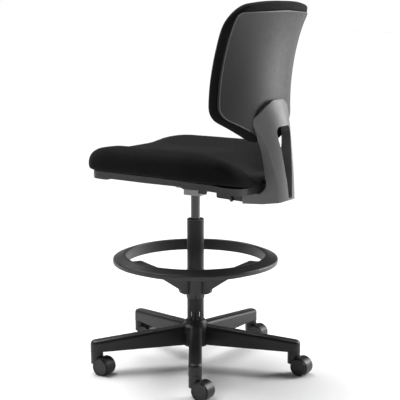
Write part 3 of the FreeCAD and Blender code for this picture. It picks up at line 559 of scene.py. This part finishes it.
def crease(obj):
    """Pulls the cover in along the tuck, and swells it below."""
    dense = []
    for a, b in zip(CREASE_PATH, CREASE_PATH[1:]):
        for n in range(8):
            dense.append(np.array(a) * (1 - n / 8) + np.array(b) * n / 8)
    dense = np.array(dense)
    count = len(dense)
    for vertex in obj.data.vertices:
        p = np.array(vertex.co)
        q = np.array([abs(p[0]), p[1], p[2]])
        if q[1] < 0.05:
            continue
        gaps = np.linalg.norm(dense - q, axis=1)
        near = int(gaps.argmin())
        d = gaps[near]
        strength = min(1.0, near / (count * 0.30))
        pull = CREASE_DEPTH * math.exp(-(d / CREASE_WIDTH) ** 2) * strength
        if dense[near][2] > q[2]:
            pull -= BULGE_HEIGHT * math.exp(-((d - BULGE_DISTANCE) / BULGE_WIDTH) ** 2) * strength
        vertex.co = vertex.co - Vector(vertex.normal) * pull


BACK_SEGMENTS = 240
BACK_CENTRE = (0.0, 0.885)     # X and height of the middle of the back
EDGE_ROUND = 0.0115            # of the cover's edge, all round


def make_back_cushion(material):
    tree = tree_of("back_cushion")
    centre = BACK_CENTRE
    far = smoothed(reach("back_cushion", [0, 2], centre, BACK_SEGMENTS), 2)
    turns = [2 * math.pi * k / BACK_SEGMENTS for k in range(BACK_SEGMENTS)]
    # the crown's arc and its shoulders stand a little fuller than the plain solid
    for k, turn in enumerate(turns):
        up = math.sin(turn)
        shoulder = abs(abs(math.pi / 2 - turn) - 0.80) if turn < math.pi else 9.0
        far[k] += 0.0015 * ease((up - 0.6) / 0.2) + 0.0042 * math.exp(-(shoulder / 0.22) ** 2)
        across = abs(far[k] * math.cos(turn))
        if up > 0.5 and across < 0.190:
            far[k] += 0.0048 * math.sin(math.pi * across / 0.190) ** 1.5
    shell_far = reach("back_shell", [0, 2], centre, BACK_SEGMENTS)

    def at(k, inset):
        return spoke(centre, far[k] - inset, turns[k])

    def cast(x, z, from_rear):
        start = Vector((x, 1.0 if from_rear else -1.0, z))
        hit = tree.ray_cast(start, Vector((0, -1 if from_rear else 1, 0)))[0]
        return hit.y if hit else None

    def depth(x, z, from_rear):
        pull = 1.0
        for _ in range(40):
            y = cast(centre[0] + (x - centre[0]) * pull, centre[1] + (z - centre[1]) * pull, from_rear)
            if y is not None:
                return y
            pull -= 0.004
        raise ValueError("no surface found")

    rear_edge, front_edge = [], []
    for k in range(BACK_SEGMENTS):
        x, z = at(k, 0.004)
        rear_edge.append(depth(x, z, True))
        front_edge.append(depth(x, z, False))
    rear_edge = smoothed(np.array(rear_edge), 4)
    front_edge = smoothed(np.array(front_edge), 4)

    rings = []
    # rear, from the middle to the border
    for share in (0.2, 0.45, 0.7, 0.88):
        ring = []
        for k in range(BACK_SEGMENTS):
            x, z = spoke(centre, (shell_far[k] - 0.004) * share, turns[k])
            ring.append((x, depth(x, z, True) - 0.0003, z))
        rings.append(ring)
    ring = []
    for k in range(BACK_SEGMENTS):
        x, z = spoke(centre, shell_far[k] - 0.002, turns[k])
        ring.append((x, depth(x * 0.985, centre[1] + (z - centre[1]) * 0.985, True) - 0.0006, z))
    rings.append(ring)
    for grow, lift in ((0.0008, -0.0015), (0.0026, 0.0002)):
        ring = []
        for k in range(BACK_SEGMENTS):
            r = min(shell_far[k] + grow, far[k] - 0.004)
            x, z = spoke(centre, r, turns[k])
            inset = far[k] - r
            y = rear_edge[k] if inset < 0.012 else depth(x, z, True)
            drop = edge_drop(inset, EDGE_ROUND)
            half = (rear_edge[k] - front_edge[k]) / 2
            ring.append((x, y + lift - half * drop, z))
        rings.append(ring)
    # border and edge, rear to front
    for n in range(1, 12):
        angle = math.pi * n / 12
        inset = EDGE_ROUND * (1 - math.sin(angle))
        ring = []
        for k in range(BACK_SEGMENTS):
            x, z = at(k, inset)
            middle = (rear_edge[k] + front_edge[k]) / 2
            half = (rear_edge[k] - front_edge[k]) / 2
            ring.append((x, middle + half * math.cos(angle), z))
        rings.append(ring)
    # front, from the edge in
    steps = 30
    for n in range(1, steps):
        share = 1 - n / steps
        ring = []
        for k in range(BACK_SEGMENTS):
            x, z = spoke(centre, (far[k] - EDGE_ROUND) * share, turns[k])
            face = depth(x, z, False)
            start = front_edge[k]
            mix = ease((1 - share) / 0.10)
            lumbar = 0.010 * math.exp(-((z - 0.80) / 0.085) ** 2) * math.exp(-(x / 0.13) ** 2)
            seam = 0.0026 * math.exp(-(((1 - share) - 0.085) / 0.014) ** 2)
            ring.append((x, start * (1 - mix) + face * mix - lumbar + seam, z))
        rings.append(ring)
    rear_pole = (centre[0], depth(*centre, True) - 0.0003, centre[1])
    front_pole = (centre[0], depth(*centre, False) - 0.006, centre[1])
    obj = closed_rings("back_cushion_cover", rings, rear_pole, front_pole, material)
    obj.modifiers.new("smooth", "SUBSURF").render_levels = 1
    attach(obj, "seat")
    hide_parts("back_cushion")
    return obj, far


BEAD_RADIUS = 0.0016
BEAD_SEGMENTS = 260
BEAD_SIDES = 10


def make_shell_bead(material):
    """The raised rim round the shell, left out where the upright covers it."""
    count = BEAD_SEGMENTS
    far = reach("back_shell", [0, 2], BACK_CENTRE, count)
    tree = tree_of("back_shell")
    runs, run = [], []
    for k in range(count + 1):
        turn = 2 * math.pi * k / count - math.pi / 2
        r = far[(k - count // 4) % count] - 0.0012
        x, z = spoke(BACK_CENTRE, r, turn)
        hit = tree.ray_cast(Vector((x, 1.0, z)), Vector((0, -1, 0)))[0]
        if hit is None or (abs(x) < 0.100 and z < 0.80):
            if len(run) > 4:
                runs.append(run)
            run = []
            continue
        run.append(Vector((x, hit.y - 0.0002, z)))
    if len(run) > 4:
        runs.append(run)
    verts, faces, sides = [], [], BEAD_SIDES
    for run in runs:
        base = len(verts)
        for i, p in enumerate(run):
            along = (run[min(i + 1, len(run) - 1)] - run[max(i - 1, 0)]).normalized()
            across = along.cross(Vector((0, 1, 0))).normalized()
            out = across.cross(along)
            for n in range(sides):
                a = 2 * math.pi * n / sides
                verts.append(p + BEAD_RADIUS * (across * math.cos(a) + out * math.sin(a)))
        for i in range(len(run) - 1):
            for n in range(sides):
                a, b = base + i * sides + n, base + i * sides + (n + 1) % sides
                faces.append((a, b, b + sides, a + sides))
        faces.append(tuple(base + n for n in range(sides))[::-1])
        last = base + (len(run) - 1) * sides
        faces.append(tuple(last + n for n in range(sides)))
    mesh = bpy.data.meshes.new("shell_rim")
    mesh.from_pydata([tuple(v) for v in verts], [], faces)
    mesh.materials.append(material)
    for face in mesh.polygons:
        face.use_smooth = True
    obj = bpy.data.objects.new("shell_rim", mesh)
    bpy.context.scene.collection.objects.link(obj)
    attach(obj, "seat")


def edge_drop(inset, radius):
    if inset >= radius:
        return 0.0
    return 1 - math.sqrt(max(0.0, 1 - (1 - inset / radius) ** 2))


def make_stitches(name, points, normals, material, length=0.0034, gap=0.0016, radius=0.00038):
    """A row of short thread stitches lying along a seam."""
    verts, faces = [], []
    points = [Vector(p) for p in points]
    sides = 6
    travelled = 0.0
    for i in range(len(points) - 1):
        a, b = points[i], points[i + 1]
        n = Vector(normals[i]).normalized()
        span = (b - a).length
        if span < 1e-6:
            continue
        along = (b - a) / span
        across = along.cross(n).normalized()
        place = -travelled
        step = length + gap
        while place + length < span:
            if place >= 0:
                base = len(verts)
                for end in range(5):
                    t = end / 4
                    centre = a + along * (place + length * t)
                    lift = radius * (0.4 + 0.8 * math.sin(math.pi * t))
                    thick = radius * (0.55 + 0.45 * math.sin(math.pi * t))
                    for s in range(sides):
                        angle = 2 * math.pi * s / sides
                        up = n * (lift + thick * math.sin(angle))
                        verts.append(centre + up + across * thick * math.cos(angle))
                for end in range(4):
                    for s in range(sides):
                        p = base + end * sides + s
                        q = base + end * sides + (s + 1) % sides
                        faces.append((p, q, q + sides, p + sides))
                faces.append(tuple(base + s for s in range(sides))[::-1])
                faces.append(tuple(base + 4 * sides + s for s in range(sides)))
            place += step
        travelled = span - place
    mesh = bpy.data.meshes.new(name)
    mesh.from_pydata([tuple(v) for v in verts], [], faces)
    mesh.materials.append(material)
    for face in mesh.polygons:
        face.use_smooth = True
    obj = bpy.data.objects.new(name, mesh)
    bpy.context.scene.collection.objects.link(obj)
    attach(obj, "seat")
    return obj


def on_surface(obj, places, direction):
    """Drops each place on to the piece along a direction: the points found and their normals."""
    bm = bmesh.new()
    bm.from_mesh(obj.data)
    tree = BVHTree.FromBMesh(bm)
    bm.free()
    found, normals = [], []
    for place in places:
        hit, normal, _, _ = tree.ray_cast(Vector(place), Vector(direction))
        if hit is not None:
            found.append(hit)
            normals.append(normal if normal.dot(Vector(direction)) < 0 else -normal)
    return found, normals


SEAM_SHARE = 0.893             # where the front seam lies, from the middle out


def make_back_seam(back, far, material):
    seam = []
    for k in range(BACK_SEGMENTS + 1):
        turn = 2 * math.pi * k / BACK_SEGMENTS
        x, z = spoke(BACK_CENTRE, (far[k % BACK_SEGMENTS] - EDGE_ROUND) * SEAM_SHARE, turn)
        seam.append((x, -1.0, z))
    points, normals = on_surface(back, seam, (0, 1, 0))
    make_stitches("back_seam_stitches", points, normals, material)


make_camera()
make_studio()
dress_cad()
# the rim is the shell's own edge, coloured about five times lighter than the shell plastic: a painted
# highlight along the shell's edge
make_shell_bead(plastic("shell_rim_painted_highlight", (0.060, 0.060, 0.061), 0.36))
seat_weave = fabric("seat_weave", (0.0030, 0.0030, 0.0032))
back_weave = fabric("back_weave", (0.0034, 0.0034, 0.0036))
thread = thread_material("upholstery_thread", (0.014, 0.014, 0.015))
make_seat_cushion(seat_weave)
back_cover, back_far = make_back_cushion(back_weave)
make_back_seam(back_cover, back_far, thread)
